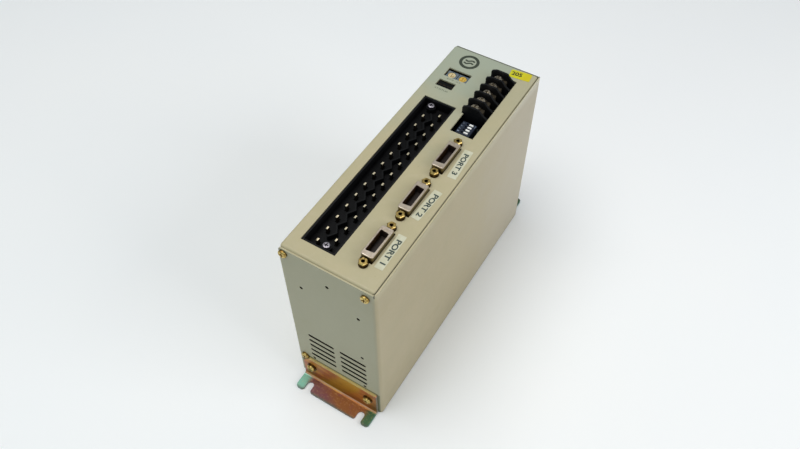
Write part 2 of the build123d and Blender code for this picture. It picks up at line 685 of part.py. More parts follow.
def make_terminal_washers():
    """Square clamping washer under each screw head."""
    washers = []
    z = TERMINAL_DECK + 0.85
    for i in range(TERMINALS):
        y = terminal_y(i)
        washer = slab(TERMINAL_X - 3.0, TERMINAL_X + 3.0, y - 3.0, y + 3.0, z, z + 0.8)
        washer = fillet(washer.edges().filter_by(Axis.Z), 0.5)
        washers.append(washer - rod_z(TERMINAL_X, y, 1.8, z - 1, z + 2))
    return washers


def make_terminal_screw(i):
    """Terminal screw that turns in its plate."""
    seat = TERMINAL_DECK + 1.7
    return Pos(TERMINAL_X, terminal_y(i), seat) * pan_screw(2.85, 2.0, 1.72, 8.0)


# ---- small switches and display -------------------------------------------------------------------
def dip_y(i):
    """Centre of a lever along the switch."""
    return DIP_Y + (i - (DIP_LEVERS - 1) / 2) * DIP_PITCH


def make_dip_body():
    """Slide switch block with one slot for each lever."""
    body = slab(DIP_X - 4.8, DIP_X + 4.8, DIP_Y - 5.6, DIP_Y + 5.6, SWITCH_BOARD_Z + BOARD_T, DIP_TOP)
    body = chamfer(body.edges().group_by(Axis.Z)[-1], 0.25)
    for i in range(DIP_LEVERS):
        low_x, high_x = DIP_X + 0.3 - DIP_TRAVEL, DIP_X + 3.1
        body = body - slab(low_x, high_x, dip_y(i) - 0.73, dip_y(i) + 0.73, DIP_TOP - 1.2, DIP_TOP + 1)
    return body


def make_dip_lever(i):
    """Small slider; it rests at the +X end of its slot."""
    x1 = DIP_X + 3.05
    lever = slab(x1 - 2.7, x1, dip_y(i) - 0.62, dip_y(i) + 0.62, DIP_TOP - 1.15, DIP_TOP + 0.7)
    return chamfer(lever.edges().group_by(Axis.Z)[-1], 0.25)


def make_rotary_bodies():
    """Two square rotary code switches with a round well for the dial."""
    bodies = []
    for x in ROTARY_X:
        body = slab(x - 3.85, x + 3.85, ROTARY_Y - 3.5, ROTARY_Y + 3.5, SWITCH_BOARD_Z + BOARD_T, ROTARY_TOP)
        body = chamfer(body.edges().group_by(Axis.Z)[-1], 0.3)
        body = body - rod_z(x, ROTARY_Y, 2.7, ROTARY_TOP - 1.2, ROTARY_TOP + 1)
        bodies.append(body - rod_z(x, ROTARY_Y, 1.2, ROTARY_TOP - 4, ROTARY_TOP + 1))
    return bodies


def make_rotary_dial(x):
    """Dial with an arrow-shaped screwdriver slot, on a short spindle."""
    low = ROTARY_TOP - 1.1
    dial = rod_z(x, ROTARY_Y, 2.55, low, low + 0.8) + rod_z(x, ROTARY_Y, 1.7, low, low + 1.3)
    slot = slab(x - 0.3, x + 0.3, ROTARY_Y - 1.4, ROTARY_Y + 1.2, low + 0.7, low + 2)
    tip = Polyline((x - 0.75, ROTARY_Y + 0.6), (x + 0.75, ROTARY_Y + 0.6), (x, ROTARY_Y + 1.55), close=True)
    slot = slot + extrude(Plane.XY.offset(low + 0.7) * make_face(tip), amount=2)
    return dial - slot + rod_z(x, ROTARY_Y, 1.15, low - 2.6, low + 0.3)


def make_display():
    """Numeric display module behind its window."""
    x0, x1, y0, y1 = DISPLAY_WINDOW
    body = slab(x0 - 0.2, x1 + 0.2, y0 - 1.0, y1 + 1.0, SWITCH_BOARD_Z + BOARD_T, PANEL_BACK - 1.0)
    return chamfer(body.edges().group_by(Axis.Z)[-1], 0.3)


def make_display_window():
    """Smoked window glued behind the front panel."""
    x0, x1, y0, y1 = DISPLAY_WINDOW
    return slab(x0 - 1.2, x1 + 1.2, y0 - 1.2, y1 + 1.2, PANEL_BACK - 0.9, PANEL_BACK - 0.1)


# ---- stickers --------------------------------------------------------------------------------------
def sticker(x, y, width, length, turn, radius, thickness):
    """Thin label lying on the front panel."""
    face = RectangleRounded(width, length, radius)
    return Pos(x, y, PANEL_TOP) * Rot(0, 0, turn) * extrude(face, amount=thickness)


def make_label_strips():
    """Three lettering-tape labels beside the connectors."""
    return [sticker(*label, radius=0.3, thickness=0.12) for label in LABELS]


def make_asset_tag():
    """Yellow rounded tag near the upper right corner."""
    return sticker(*TAG, radius=1.1, thickness=0.2)


# ---- write every node ---------------------------------------------------------------------------------
near_bracket = make_bracket()
save("chassis", make_chassis())
save("cover", make_cover())
save("back_plate", make_back_plate())
save("back_screws", make_back_screws())
save("lower_bracket", near_bracket)
save("upper_bracket", half_turn(near_bracket))
save("bracket_screws", make_bracket_screws())
save("cover_screws", make_cover_screws())
save("heatsink", make_heatsink())
save("power_module", make_power_module())
save("rectifier", make_rectifier())
save("module_screws", make_module_screws())
save("power_board", board_with_holes(POWER_BOARD_X))
save("control_board", board_with_holes(CONTROL_BOARD_X))
save("switch_board", make_switch_board())
save("bus_capacitors", make_bus_capacitors())
save("relay", make_relay())
save("transformer", make_transformer())
save("current_sensors", make_current_sensors())
save("control_chips", make_control_chips())
save("board_plugs", make_board_plugs())
save("ribbon_cable", make_ribbon_cable())
save("board_standoffs", make_standoffs())
save("board_screws", make_board_screws())
save("insulating_sheet", make_insulating_sheet())
save("header_body", make_header_body())
save("header_pins", make_header_pins())
save("header_screws", make_header_screws())
for number, y in enumerate(CONNECTOR_Y, start=1):
    place = Pos(CONNECTOR_X, y, 0)
    save(f"connector_shell_{number}", place * make_connector_shell())
    save(f"connector_insert_{number}", place * make_connector_insert())
    save(f"connector_contacts_{number}", [place * contact for contact in make_connector_contacts()])
save("jackscrews", make_jackscrews())
save("terminal_block", make_terminal_block())
save("terminal_plates", make_terminal_plates())
save("terminal_washers", make_terminal_washers())
for number in range(TERMINALS):
    save(f"terminal_screw_{number + 1}", make_terminal_screw(number))
save("dip_switch_body", make_dip_body())
for number in range(DIP_LEVERS):
    save(f"dip_lever_{number + 1}", make_dip_lever(number))
save("rotary_switch_bodies", make_rotary_bodies())
for number, x in enumerate(ROTARY_X, start=1):
    save(f"rotary_dial_{number}", make_rotary_dial(x))
save("status_display", make_display())
save("display_window", make_display_window())
save("label_strips", make_label_strips())
save("asset_tag", make_asset_tag())
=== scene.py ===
"""Looks of the servo drive: finishes for its CAD pieces, printed legends, labels and fine hardware."""
import math

import bmesh
import bpy
from mathutils import Matrix, Vector


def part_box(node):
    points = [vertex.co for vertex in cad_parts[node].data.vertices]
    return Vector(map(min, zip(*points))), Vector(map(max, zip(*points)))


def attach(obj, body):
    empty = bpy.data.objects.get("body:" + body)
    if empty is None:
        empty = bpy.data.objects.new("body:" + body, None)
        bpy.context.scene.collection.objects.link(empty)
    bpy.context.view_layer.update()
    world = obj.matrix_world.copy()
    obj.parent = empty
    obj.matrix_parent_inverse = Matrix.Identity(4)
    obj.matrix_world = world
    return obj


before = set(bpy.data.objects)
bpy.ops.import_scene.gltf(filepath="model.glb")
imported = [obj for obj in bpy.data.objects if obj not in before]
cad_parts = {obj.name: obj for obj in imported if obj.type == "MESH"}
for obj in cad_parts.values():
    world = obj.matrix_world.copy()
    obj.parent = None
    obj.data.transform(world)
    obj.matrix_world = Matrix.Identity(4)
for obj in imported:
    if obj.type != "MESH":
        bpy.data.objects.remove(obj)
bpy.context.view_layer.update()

# ---- room --------------------------------------------------------------------------------
# A plain pale studio: one sweep of matt paper under the drive, a large soft box overhead,
# one at the right, a faint one near the lower end and pale light from all round.
MM = 0.001
scene = bpy.context.scene
scene.view_settings.view_transform = "Standard"


def mesh_piece(name, build, smooth=True):
    """A new mesh filled by build(bm), in metres in the drive's frame."""
    mesh = bpy.data.meshes.new(name)
    bm = bmesh.new()
    build(bm)
    bmesh.ops.recalc_face_normals(bm, faces=bm.faces)
    bm.to_mesh(mesh)
    bm.free()
    piece = bpy.data.objects.new(name, mesh)
    scene.collection.objects.link(piece)
    if smooth:
        mesh.shade_smooth()
        mesh.set_sharp_from_angle(angle=math.radians(32))
    return piece


class Wire:
    """One socket of a material's node tree; sums and products of wires add Math nodes."""

    def __init__(self, socket):
        self.socket = socket

    def add(self, kind, settings=None, links=None, out=0):
        """Any node: its type, then its settings, then the values or wires of its sockets."""
        made = self.socket.id_data.nodes.new(kind)
        for name, value in (settings or {}).items():
            setattr(made, name, value)
        for key, value in (links or {}).items():
            join(made.inputs[key], value)
        return Wire(made.outputs[out])

    def _math(self, operation, first, second=0.0):
        return self.add("ShaderNodeMath", {"operation": operation}, {0: first, 1: second})

    def __add__(self, other):
        return self._math("ADD", self, other)

    def __radd__(self, other):
        return self._math("ADD", other, self)

    def __sub__(self, other):
        return self._math("SUBTRACT", self, other)

    def __rsub__(self, other):
        return self._math("SUBTRACT", other, self)

    def __mul__(self, other):
        return self._math("MULTIPLY", self, other)

    def __rmul__(self, other):
        return self._math("MULTIPLY", other, self)

    def __truediv__(self, other):
        return self._math("DIVIDE", self, other)

    def __abs__(self):
        return self._math("ABSOLUTE", self)

    def either(self, other):
        """The larger of two masks."""
        return self._math("MAXIMUM", self, other)

    def above(self, low, high):
        """0 below low, 1 above high, smooth between."""
        return self.add(
            "ShaderNodeMapRange",
            {"interpolation_type": "SMOOTHSTEP"},
            {"Value": self, "From Min": low, "From Max": high},
        )

    def noise(self, scale, detail=3.0, rough=0.55, stretch=(1, 1, 1)):
        """Cloudy noise read at this place; scale is in lumps per metre."""
        place = self.add("ShaderNodeVectorMath", {"operation": "MULTIPLY"}, {0: self, 1: stretch})
        inputs = {"Vector": place, "Scale": scale, "Detail": detail, "Roughness": rough}
        return self.add("ShaderNodeTexNoise", {}, inputs)

    def axis(self, name):
        """One coordinate of this place, in metres."""
        return self.add("ShaderNodeSeparateXYZ", {}, {0: self}, out="XYZ".index(name))

    def mix(self, first, second):
        """Colour between first and second, with this wire as the share of the second."""
        node = self.add("ShaderNodeMix", {"data_type": "RGBA"}, {"Factor": self}, out=2)
        join(node.socket.node.inputs[6], first)
        join(node.socket.node.inputs[7], second)
        return node

    def between(self, low, high, soft):
        """1 between low and high, 0 outside, with soft edges."""
        return self.above(low - soft, low) * (1.0 - self.above(high, high + soft))

    def bump(self, height, distance, strength=1.0):
        """Surface normal for a height map whose full step is distance metres deep."""
        return self.add("ShaderNodeBump", {}, {"Height": height, "Distance": distance, "Strength": strength})


def join(socket, value):
    """Link a wire to a socket, or write a plain value in it."""
    if isinstance(value, Wire):
        socket.id_data.links.new(value.socket, socket)
    elif socket.type == "RGBA" and len(value) == 3:
        socket.default_value = (*value, 1.0)
    else:
        socket.default_value = value


def shade(red, green, blue):
    """Linear colour of an eight-bit display colour."""
    channels = [channel / 255 for channel in (red, green, blue)]
    return tuple(c / 12.92 if c < 0.04045 else ((c + 0.055) / 1.055) ** 2.4 for c in channels)


def finish(name, look, **fixed):
    """A material: fixed shader values by socket name, and look(place) for what varies."""
    material = bpy.data.materials.new(name)
    material.use_nodes = True
    shader = material.node_tree.nodes["Principled BSDF"]
    for socket, value in fixed.items():
        join(shader.inputs[socket.replace("_", " ")], value)
    place = Wire(material.node_tree.nodes.new("ShaderNodeTexCoord").outputs["Object"])
    for socket, value in look(place).items():
        join(shader.inputs[socket.replace("_", " ")], value)
    return material


def dress(material, *names):
    """Give CAD nodes or pieces a material in place of what they had."""
    for name in names:
        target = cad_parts[name] if isinstance(name, str) else name
        target.data.materials.clear()
        target.data.materials.append(material)


def paper_look(place):
    """Faint mottle of matt background paper."""
    return {"Base_Color": place.noise(6).mix(shade(246, 248, 251), shade(250, 250, 251))}


floor_paper = finish("floor_paper", paper_look, Roughness=0.9)


def sweep(bm):
    """Flat sheet that curves up far behind the drive."""
    half_width, near_y, step, flat_rows, curve_radius = 3.5, -1.6, 0.28, 12, 0.9
    curve_y = near_y + flat_rows * step
    rows = []
    for row in range(2 * flat_rows + 1):
        turn = max(0.0, (row - flat_rows) / flat_rows) * math.pi / 2
        y = near_y + row * step if row <= flat_rows else curve_y + curve_radius * math.sin(turn)
        z = curve_radius * (1 - math.cos(turn))
        rows.append([bm.verts.new((x, y, z)) for x in (-half_width, half_width)])
    for (left, right), (next_left, next_right) in zip(rows, rows[1:]):
        bm.faces.new((left, right, next_right, next_left))


floor = mesh_piece("floor", sweep)
dress(floor_paper, floor)


def soft_box(name, place, aim, size, power, tint=(1, 1, 1)):
    """Square area light at place, pointing at aim."""
    light = bpy.data.lights.new(name, "AREA")
    light.energy = power
    light.size = size
    light.color = tint
    lamp = bpy.data.objects.new(name, light)
    lamp.location = place
    lamp.rotation_mode = "QUATERNION"
    lamp.rotation_quaternion = (Vector(aim) - Vector(place)).to_track_quat("-Z", "Y")
    scene.collection.objects.link(lamp)


MIDDLE = (0.0, 0.0, 0.07)
soft_box("overhead_box", (-0.25, -0.15, 1.35), MIDDLE, 0.9, 11.5, (1.0, 0.985, 0.95))
soft_box("right_box", (1.2, 0.1, 0.75), MIDDLE, 0.8, 7.5, (1.0, 0.99, 0.98))
soft_box("near_box", (-0.3, -1.3, 0.5), MIDDLE, 0.8, 1.35, (0.72, 1.0, 0.98))
world = bpy.data.worlds.new("pale_room")
world.use_nodes = True
world.node_tree.nodes["Background"].inputs["Color"].default_value = (0.84, 0.95, 1.0, 1.0)
world.node_tree.nodes["Background"].inputs["Strength"].default_value = 0.27
scene.world = world

# ---- camera --------------------------------------------------------------------------------
# A normal lens held above the near right corner, a little off level, aimed just left of the
# middle of the case.
AZIMUTH, ELEVATION, ROLL = 32.06, 51.96, -0.48
AIM = Vector((-0.01278, -0.00443, 0.07))
DISTANCE = 0.51845
azimuth, elevation = math.radians(AZIMUTH), math.radians(ELEVATION)
back = Vector((
    math.sin(azimuth) * math.cos(elevation),
    -math.cos(azimuth) * math.cos(elevation),
    math.sin(elevation),
))
camera = bpy.data.objects.new("camera", bpy.data.cameras.new("camera"))
camera.data.sensor_width = 36.0
camera.data.lens = 34.52
camera.location = AIM + back * DISTANCE
camera.rotation_mode = "QUATERNION"
level = (-back).to_track_quat("-Z", "Y")
camera.rotation_quaternion = Matrix.Rotation(math.radians(ROLL), 3, back).to_quaternion() @ level
camera.data.clip_start = 0.01
scene.collection.objects.link(camera)
scene.camera = camera


# ---- painted sheet case ------------------------------------------------------------------
# Folded steel sheet 1 mm thick, stove-enamelled in a warm beige with a fine orange peel.
# Front and left wall are one sheet, right wall and both ends are the other.
FRONT_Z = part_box("chassis")[1].z
SIDE_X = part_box("cover")[1].x
END_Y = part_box("cover")[1].y
BRACKET_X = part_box("lower_bracket")[1].x
BRACKET_TOP_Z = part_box("lower_bracket")[1].z


def enamel_tone(place):
    """Beige that drifts from face to face, with painted light and shade: ends painted darker, the right wall
    painted paler and the front greyer towards the far end, and painted shade by the right-hand corners.
    """
    drift = place.noise(9, 2).above(0.35, 0.65)
    cloud = place.noise(60, 4).above(0.3, 0.75)
    blotch = place.noise(190, 3, 0.6).above(0.45, 0.75)
    speck = place.noise(900, 2, 0.5).above(0.72, 0.8)
    across, along, height = place.axis("X"), place.axis("Y"), place.axis("Z")
    base = drift.mix(shade(180, 170, 137), shade(185, 176, 145))
    base = (cloud * 0.4).mix(base, shade(172, 166, 136))
    base = (blotch * 0.25).mix(base, shade(190, 178, 152))
    # painted light: the front and right wall tinted greyer and paler towards the far end, as the light falls
    # there
    far_light_tint = (along + (cloud - 0.5) * 0.02).above(-0.015, 0.095)
    on_front = height.above(FRONT_Z - 0.0006, FRONT_Z - 0.0003)
    off_margin = 1.0 - across.above(0.013, 0.023) * 0.75
    base = (on_front * far_light_tint * off_margin * 0.85).mix(base, shade(155, 165, 150))
    on_side = across.above(SIDE_X - 0.0006, SIDE_X - 0.0003)
    base = (on_side * far_light_tint * 0.9).mix(base, shade(194, 188, 170))
    # painted shade: the ends darker and greyer than the front and the sides
    on_end = abs(along).above(END_Y - 0.0006, END_Y - 0.0003)
    base = (on_end * 0.6).mix(base, shade(160, 160, 138))
    base = (speck * 0.45).mix(base, shade(104, 92, 66))
    # painted shade: a brownish band along the rounded right-hand corners of the ends, below the front; the
    # same mask tints the whole right wall
    below_front = 1.0 - height.above(FRONT_Z - 0.008, FRONT_Z - 0.002)
    corner = across.above(SIDE_X - 0.0034, SIDE_X - 0.0006) * below_front
    base = (corner * 0.3).mix(base, shade(150, 130, 100))
    low = 1.0 - height.above(0.0, 0.03)
    return (low * cloud * 0.3).mix(base, shade(158, 150, 118))


def edge_marks(place, base):
    """Painted shade: near-black in the cut edges of vents and holes and in the gap at the right edge of the
    front, a dark band on the far fold, and a painted shadow along the top and outer edge of each bracket.
    """
    across, along, height = abs(place.axis("X")), abs(place.axis("Y")), place.axis("Z")
    off_front = 1.0 - height.above(FRONT_Z - 0.006, FRONT_Z - 0.005)
    off_corner = 1.0 - across.above(SIDE_X - 0.0045, SIDE_X - 0.004)
    # painted shade: the cut edges of vents and holes in the end walls near-black
    cut_edge_shade = along.between(END_Y - 0.0013, END_Y - 0.0002, 0.0001) * off_front * off_corner
    near_front = height.above(FRONT_Z - 0.004, FRONT_Z - 0.003)
    # painted shade: the gap where the front panel meets the right wall painted near-black
    seam_shade = place.axis("X").between(SIDE_X - 0.00142, SIDE_X - 0.00098, 0.00003) * near_front
    base = cut_edge_shade.either(seam_shade).mix(base, shade(26, 23, 18))
    # painted shade: a dark band along the far fold of the front panel
    far_fold_shade = place.axis("Y").above(END_Y - 0.0019, END_Y - 0.0013) * near_front
    base = (far_fold_shade * 0.8).mix(base, shade(56, 66, 62))
    # painted shadow: a dark olive band on the end just above each bracket and beside its outer edge
    over_bracket = height.between(BRACKET_TOP_Z - 0.0005, BRACKET_TOP_Z + 0.0016, 0.0006)
    over_bracket = over_bracket * (1.0 - across.above(BRACKET_X, BRACKET_X + 0.001))
    beside_bracket = across.between(BRACKET_X, BRACKET_X + 0.0013, 0.0004)
    beside_bracket = beside_bracket * (1.0 - height.above(BRACKET_TOP_Z + 0.0005, BRACKET_TOP_Z + 0.0016))
    bracket_shadow = over_bracket.either(beside_bracket) * along.above(END_Y - 0.002, END_Y - 0.001)
    return (bracket_shadow * 0.75).mix(base, shade(74, 84, 48))


def enamel_look(place):
    """Worn beige enamel with a fine orange peel."""
    rub = place.noise(26, 5, 0.62, (1, 0.35, 1)).above(0.55, 0.78)
    peel = place.noise(1500, 2, 0.45)
    return {
        "Base_Color": edge_marks(place, enamel_tone(place)),
        "Roughness": 0.45 + rub * 0.12 + peel * 0.08,
        "Normal": place.bump(peel, 0.00004, 0.55),
    }


enamel = finish("beige_enamel", enamel_look, IOR=1.45, Specular_IOR_Level=0.42)
dress(enamel, "chassis", "cover", "back_plate")


# ---- brackets ------------------------------------------------------------------------------
# Bent steel strip 1.6 mm thick, yellow zinc chromate. The passivation film is amber on the
# upright, rose and mauve towards the ends, and teal where it pooled on the ears of the foot.
def chromate_look(place):
    """Iridescent film: amber, rose and teal that wander over the strip, with a pale painted highlight on its
    fold and top edge and a teal one on its side edges.
    """
    across = place.axis("X")
    out = abs(place.axis("Y")) - END_Y
    height = place.axis("Z")
    cloud = place.noise(60, 4, 0.6)
    streak = place.noise(90, 4, 0.6, (0.45, 2.5, 2.5))
    fine = place.noise(700, 3, 0.6)
    amber = streak.above(0.36, 0.64).mix(shade(166, 96, 44), shade(196, 134, 48))
    off_stripe = abs(across - 0.001 - (height - BRACKET_TOP_Z / 2) * 0.9)
    gold = (place.noise(45, 3, 0.5) - off_stripe * 34.0).above(0.06, 0.32)
    amber = (gold * 0.9).mix(amber, shade(186, 146, 30))
    rose = (cloud + (abs(across) - 0.024) * 40.0).above(0.5, 0.95)
    film = rose.mix(amber, shade(168, 96, 96))
    mottle = place.noise(130, 4, 0.65).above(0.52, 0.74)
    film = (mottle * 0.4).mix(film, shade(112, 76, 44))
    on_foot = out.above(0.0022, 0.0034)
    foot_film = (cloud - across * 14.0).above(0.45, 0.85).mix(shade(138, 86, 48), shade(112, 72, 82))
    foot_film = (mottle * 0.5).mix(foot_film, shade(118, 64, 84))
    film = on_foot.mix(film, foot_film)
    ear_reach = abs(across) + (cloud - 0.5) * 0.006
    ears = on_foot * ear_reach.above(0.0200, 0.0250)
    teal = across.above(-0.01, 0.01).mix(shade(116, 168, 148), shade(72, 108, 76))
    film = ears.mix(film, teal)
    tip = (out + (cloud - 0.5) * 0.002).above(0.0114, 0.0136)
    film = (tip * 0.8).mix(film, shade(84, 96, 88))
    # painted highlight: a pale pink line along the inner fold
    bend_highlight = height.between(0.0020, 0.0023, 0.0003) * out.between(0.0019, 0.0026, 0.0004)
    film = (bend_highlight * 0.7).mix(film, shade(226, 176, 150))
    # painted highlight: a cream line on the top edge of the upright
    top_edge_highlight = height.above(BRACKET_TOP_Z - 0.0003, BRACKET_TOP_Z)
    film = (top_edge_highlight * 0.8).mix(film, shade(214, 196, 132))
    # painted highlight: a teal line along the side edges
    side_edge_highlight = abs(across).above(BRACKET_X - 0.0006, BRACKET_X - 0.0002)
    film = (side_edge_highlight * 0.5).mix(film, shade(96, 150, 140))
    return {
        "Base_Color": (fine.above(0.5, 0.8) * 0.3).mix(film, shade(214, 180, 120)),
        "Roughness": 0.3 + fine * 0.2,
        "Normal": place.bump(streak + fine * 0.3, 0.00003, 0.5),
    }


chromate = finish("zinc_chromate", chromate_look, Metallic=0.7)
dress(chromate, "lower_bracket", "upper_bracket")


# ---- yellow-plated screws --------------------------------------------------------------------
# Steel pan-head screws with washers, yellow zinc: brassy on the crown, with dark brown painted shade
# in the recess and round the rim.
def plate_on(node):
    """Gives the screws of this node a brassy plate, with painted shade darker away from the crown of each
    head.
    """
    head_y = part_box(node)[1].y

    def look(place):
        patch = place.noise(700, 3, 0.6)
        # painted shade: dark brown away from the crown, in the recess and round the rim
        crown = (abs(place.axis("Y")) + (patch - 0.5) * 0.0008).above(head_y - 0.0019, head_y - 0.0007)
        brass_tone = patch.above(0.4, 0.65).mix(shade(216, 192, 118), shade(150, 116, 58))
        return {
            "Base_Color": crown.mix(shade(96, 72, 34), brass_tone),
            "Roughness": 0.26 + patch * 0.24,
        }

    dress(finish(f"yellow_zinc_{node}", look, Metallic=1.0), node)


for screws in ("cover_screws", "bracket_screws", "back_screws"):
    plate_on(screws)


# ---- black mouldings -----------------------------------------------------------------------
# Header, terminal block and plugs: black glass-filled plastic, matt, with a little dust on it,
# and painted shade that makes it quite black below the level of the front panel.
def black_look(place):
    """Near-black moulding with a fine spark-eroded grain and a breath of dust, painted quite black as shade
    below the front panel.
    """
    grain = place.noise(2600, 2)
    dust = place.noise(130, 4).above(0.5, 0.8)
    # painted shade: quite black below the level of the front panel
    deep = 1.0 - place.axis("Z").above(FRONT_Z - 0.006, FRONT_Z - 0.0005)
    base = (dust * 0.4).mix(shade(17, 17, 19), shade(30, 29, 32))
    return {
        "Base_Color": deep.mix(base, shade(5, 5, 7)),
        "Roughness": 0.38 + grain * 0.18 + dust * 0.12,
        "Normal": place.bump(grain, 0.00002, 0.4),
    }


black = finish("black_moulding", black_look, Specular_IOR_Level=0.16)
dress(black, "header_body", "terminal_block", "board_plugs", "current_sensors")


# ---- header pins and screws ------------------------------------------------------------------
# Square tin-plated pins: the tip carries a painted highlight and the shaft is painted dark brown as shade.
# The screws at both ends of the header are nickel-plated, bright on their crowns with painted shade below.
PIN_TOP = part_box("header_pins")[1].z


def pin_look(place):
    """Painted highlight of bright cream on the tip, over a shaft painted dark brown as shade."""
    wear = place.noise(1400, 3)
    # painted light: the top of each pin bright as a highlight, the shaft below it dark as shade
    tip = (place.axis("Z") + (wear - 0.5) * 0.0005).above(PIN_TOP - 0.0007, PIN_TOP - 0.0002)
    return {
        "Base_Color": tip.mix(shade(34, 24, 16), shade(250, 234, 200)),
        "Roughness": 0.5 - tip * 0.18,
    }


dress(finish("tin_pin", pin_look, Metallic=0.75), "header_pins")


def screw_steel_look(place):
    """Nickel-plated steel, dull in the recess, with turning marks."""
    grain = place.noise(900, 3)
    return {
        "Base_Color": grain.above(0.35, 0.7).mix(shade(214, 210, 204), shade(158, 154, 150)),
        "Roughness": 0.24 + grain * 0.2,
    }


dress(finish("nickel_steel", screw_steel_look, Metallic=1.0), "module_screws", "board_screws")
HEAD_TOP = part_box("header_screws")[1].z


def header_screw_look(place):
    """Nickel plate, bright only on the crown, with smoke-grey painted shade below it."""
    grain = place.noise(900, 3)
    # painted shade: dark grey below the crown of each screw
    crown = (place.axis("Z") + (grain - 0.5) * 0.0005).above(HEAD_TOP - 0.0006, HEAD_TOP - 0.0001)
    return {
        "Base_Color": crown.mix(shade(58, 58, 66), shade(176, 170, 178)),
        "Roughness": 0.3 + grain * 0.2,
    }


dress(finish("crown_lit_nickel", header_screw_look, Metallic=0.9), "header_screws")


# ---- shielded connectors -----------------------------------------------------------------------
# Drawn steel shell with a warm nickel plate, bright on its rim and with olive-brown painted shade
# down its walls; inside it a dark brown moulded insert with two rows of gold-flashed contacts.
SHELL_TOP_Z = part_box("connector_shell_1")[1].z


def shell_look(place):
    """Pale pinkish nickel on the rim, olive-brown painted shade below it."""
    cloud = place.noise(300, 3)
    height = place.axis("Z") + (cloud - 0.5) * 0.0006
    rim = height.above(SHELL_TOP_Z - 0.0009, SHELL_TOP_Z - 0.0002)
    # painted shade: the walls below the rim darker towards the panel
    wall = height.above(FRONT_Z + 0.0004, FRONT_Z + 0.003).mix(shade(70, 54, 26), shade(120, 104, 62))
    bright = cloud.above(0.4, 0.7).mix(shade(206, 192, 176), shade(184, 168, 150))
    return {
        "Base_Color": rim.mix(wall, bright),
        "Roughness": 0.3 + cloud * 0.2,
        "Normal": place.bump(cloud, 0.00003, 0.3),
    }


shell_nickel = finish("warm_nickel", shell_look, Metallic=0.8)


def insert_look(place):
    """Brown-black thermoset with a slight mottle, painted lighter on its upper edge as a highlight."""
    grain = place.noise(900, 3)
    # painted light: the upper edge of the insert lighter than its shaded depth
    lip = place.axis("Z").above(FRONT_Z + 0.002, FRONT_Z + 0.004)
    base = grain.above(0.4, 0.7).mix(shade(30, 19, 16), shade(44, 28, 22))
    return {
        "Base_Color": (lip * 0.4).mix(base, shade(74, 46, 34)),
        "Roughness": 0.42 + grain * 0.15,
        "Normal": place.bump(grain, 0.00002, 0.4),
    }


insert_brown = finish("brown_insert", insert_look)


def speckled(name, first, second, rough, metal=0.0, scale=500):
    """Two-tone finish with a fine grain, for small and inner pieces."""
    def look(place):
        grain = place.noise(scale, 3)
        return {
            "Base_Color": grain.above(0.35, 0.7).mix(first, second),
            "Roughness": rough + grain * 0.15,
            "Normal": place.bump(grain, 0.00002, 0.3),
        }
    return finish(name, look, Metallic=metal)


gold = speckled("gold_flash", shade(120, 84, 38), shade(70, 46, 22), 0.4, 0.9, 900)
for number in (1, 2, 3):
    dress(shell_nickel, f"connector_shell_{number}")
    dress(insert_brown, f"connector_insert_{number}")
    dress(gold, f"connector_contacts_{number}")


# ---- jackscrews --------------------------------------------------------------------------------
# Turned hexagonal brass with a tapped socket: bright on the chamfer, with brown painted shade
# in the thread and at the foot.
JACK_TOP_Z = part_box("jackscrews")[1].z


def brass_look(place):
    """Yellow brass with brown painted shade low down and in the socket."""
    cloud = place.noise(800, 3)
    # painted shade: brown below the chamfer and in the socket
    crown = (place.axis("Z") + (cloud - 0.5) * 0.0006).above(JACK_TOP_Z - 0.0012, JACK_TOP_Z - 0.0003)
    bright = cloud.above(0.4, 0.7).mix(shade(214, 186, 116), shade(140, 110, 56))
    return {
        "Base_Color": crown.mix(shade(72, 54, 24), bright),
        "Roughness": 0.24 + cloud * 0.22,
    }


dress(finish("turned_brass", brass_look, Metallic=1.0), "jackscrews", "board_standoffs")


# ---- terminal block metal --------------------------------------------------------------------------
# Tinned brass plates under square steel washers and cross-recessed screws, all dulled by age.
def terminal_look(place):
    """Grey-bronze metal, brighter where a driver has polished it."""
    cloud = place.noise(650, 4, 0.6)
    return {
        "Base_Color": cloud.above(0.42, 0.62).mix(shade(118, 108, 94), shade(214, 204, 186)),
        "Roughness": 0.32 + cloud * 0.2,
        "Normal": place.bump(cloud, 0.00004, 0.3),
    }


aged_metal = finish("aged_terminal_metal", terminal_look, Metallic=1.0)
for number in range(1, 6):
    dress(aged_metal, f"terminal_screw_{number}")
dull_plate = speckled("dull_plate", shade(92, 84, 70), shade(60, 54, 46), 0.45, 0.9)
dress(dull_plate, "terminal_plates", "terminal_washers")


# ---- lettering ---------------------------------------------------------------------------------
# Printed marks are films of ink 0.03 mm thick: port names on the tape strips, a stock number on
# the tag, numerals by the switches. They are set in a plain sans face and pressed to their sizes.
INK_THICKNESS = 0.03 * MM
inks = {}


def ink(name, colour, worn):
    """Printing ink of one colour with small worn spots."""
    def look(place):
        rubbed = place.noise(1800, 3).above(0.5, 0.8)
        return {"Base_Color": (rubbed * 0.4).mix(colour, worn), "Roughness": 0.5 + rubbed * 0.2}
    inks[name] = finish(name, look)
    return inks[name]


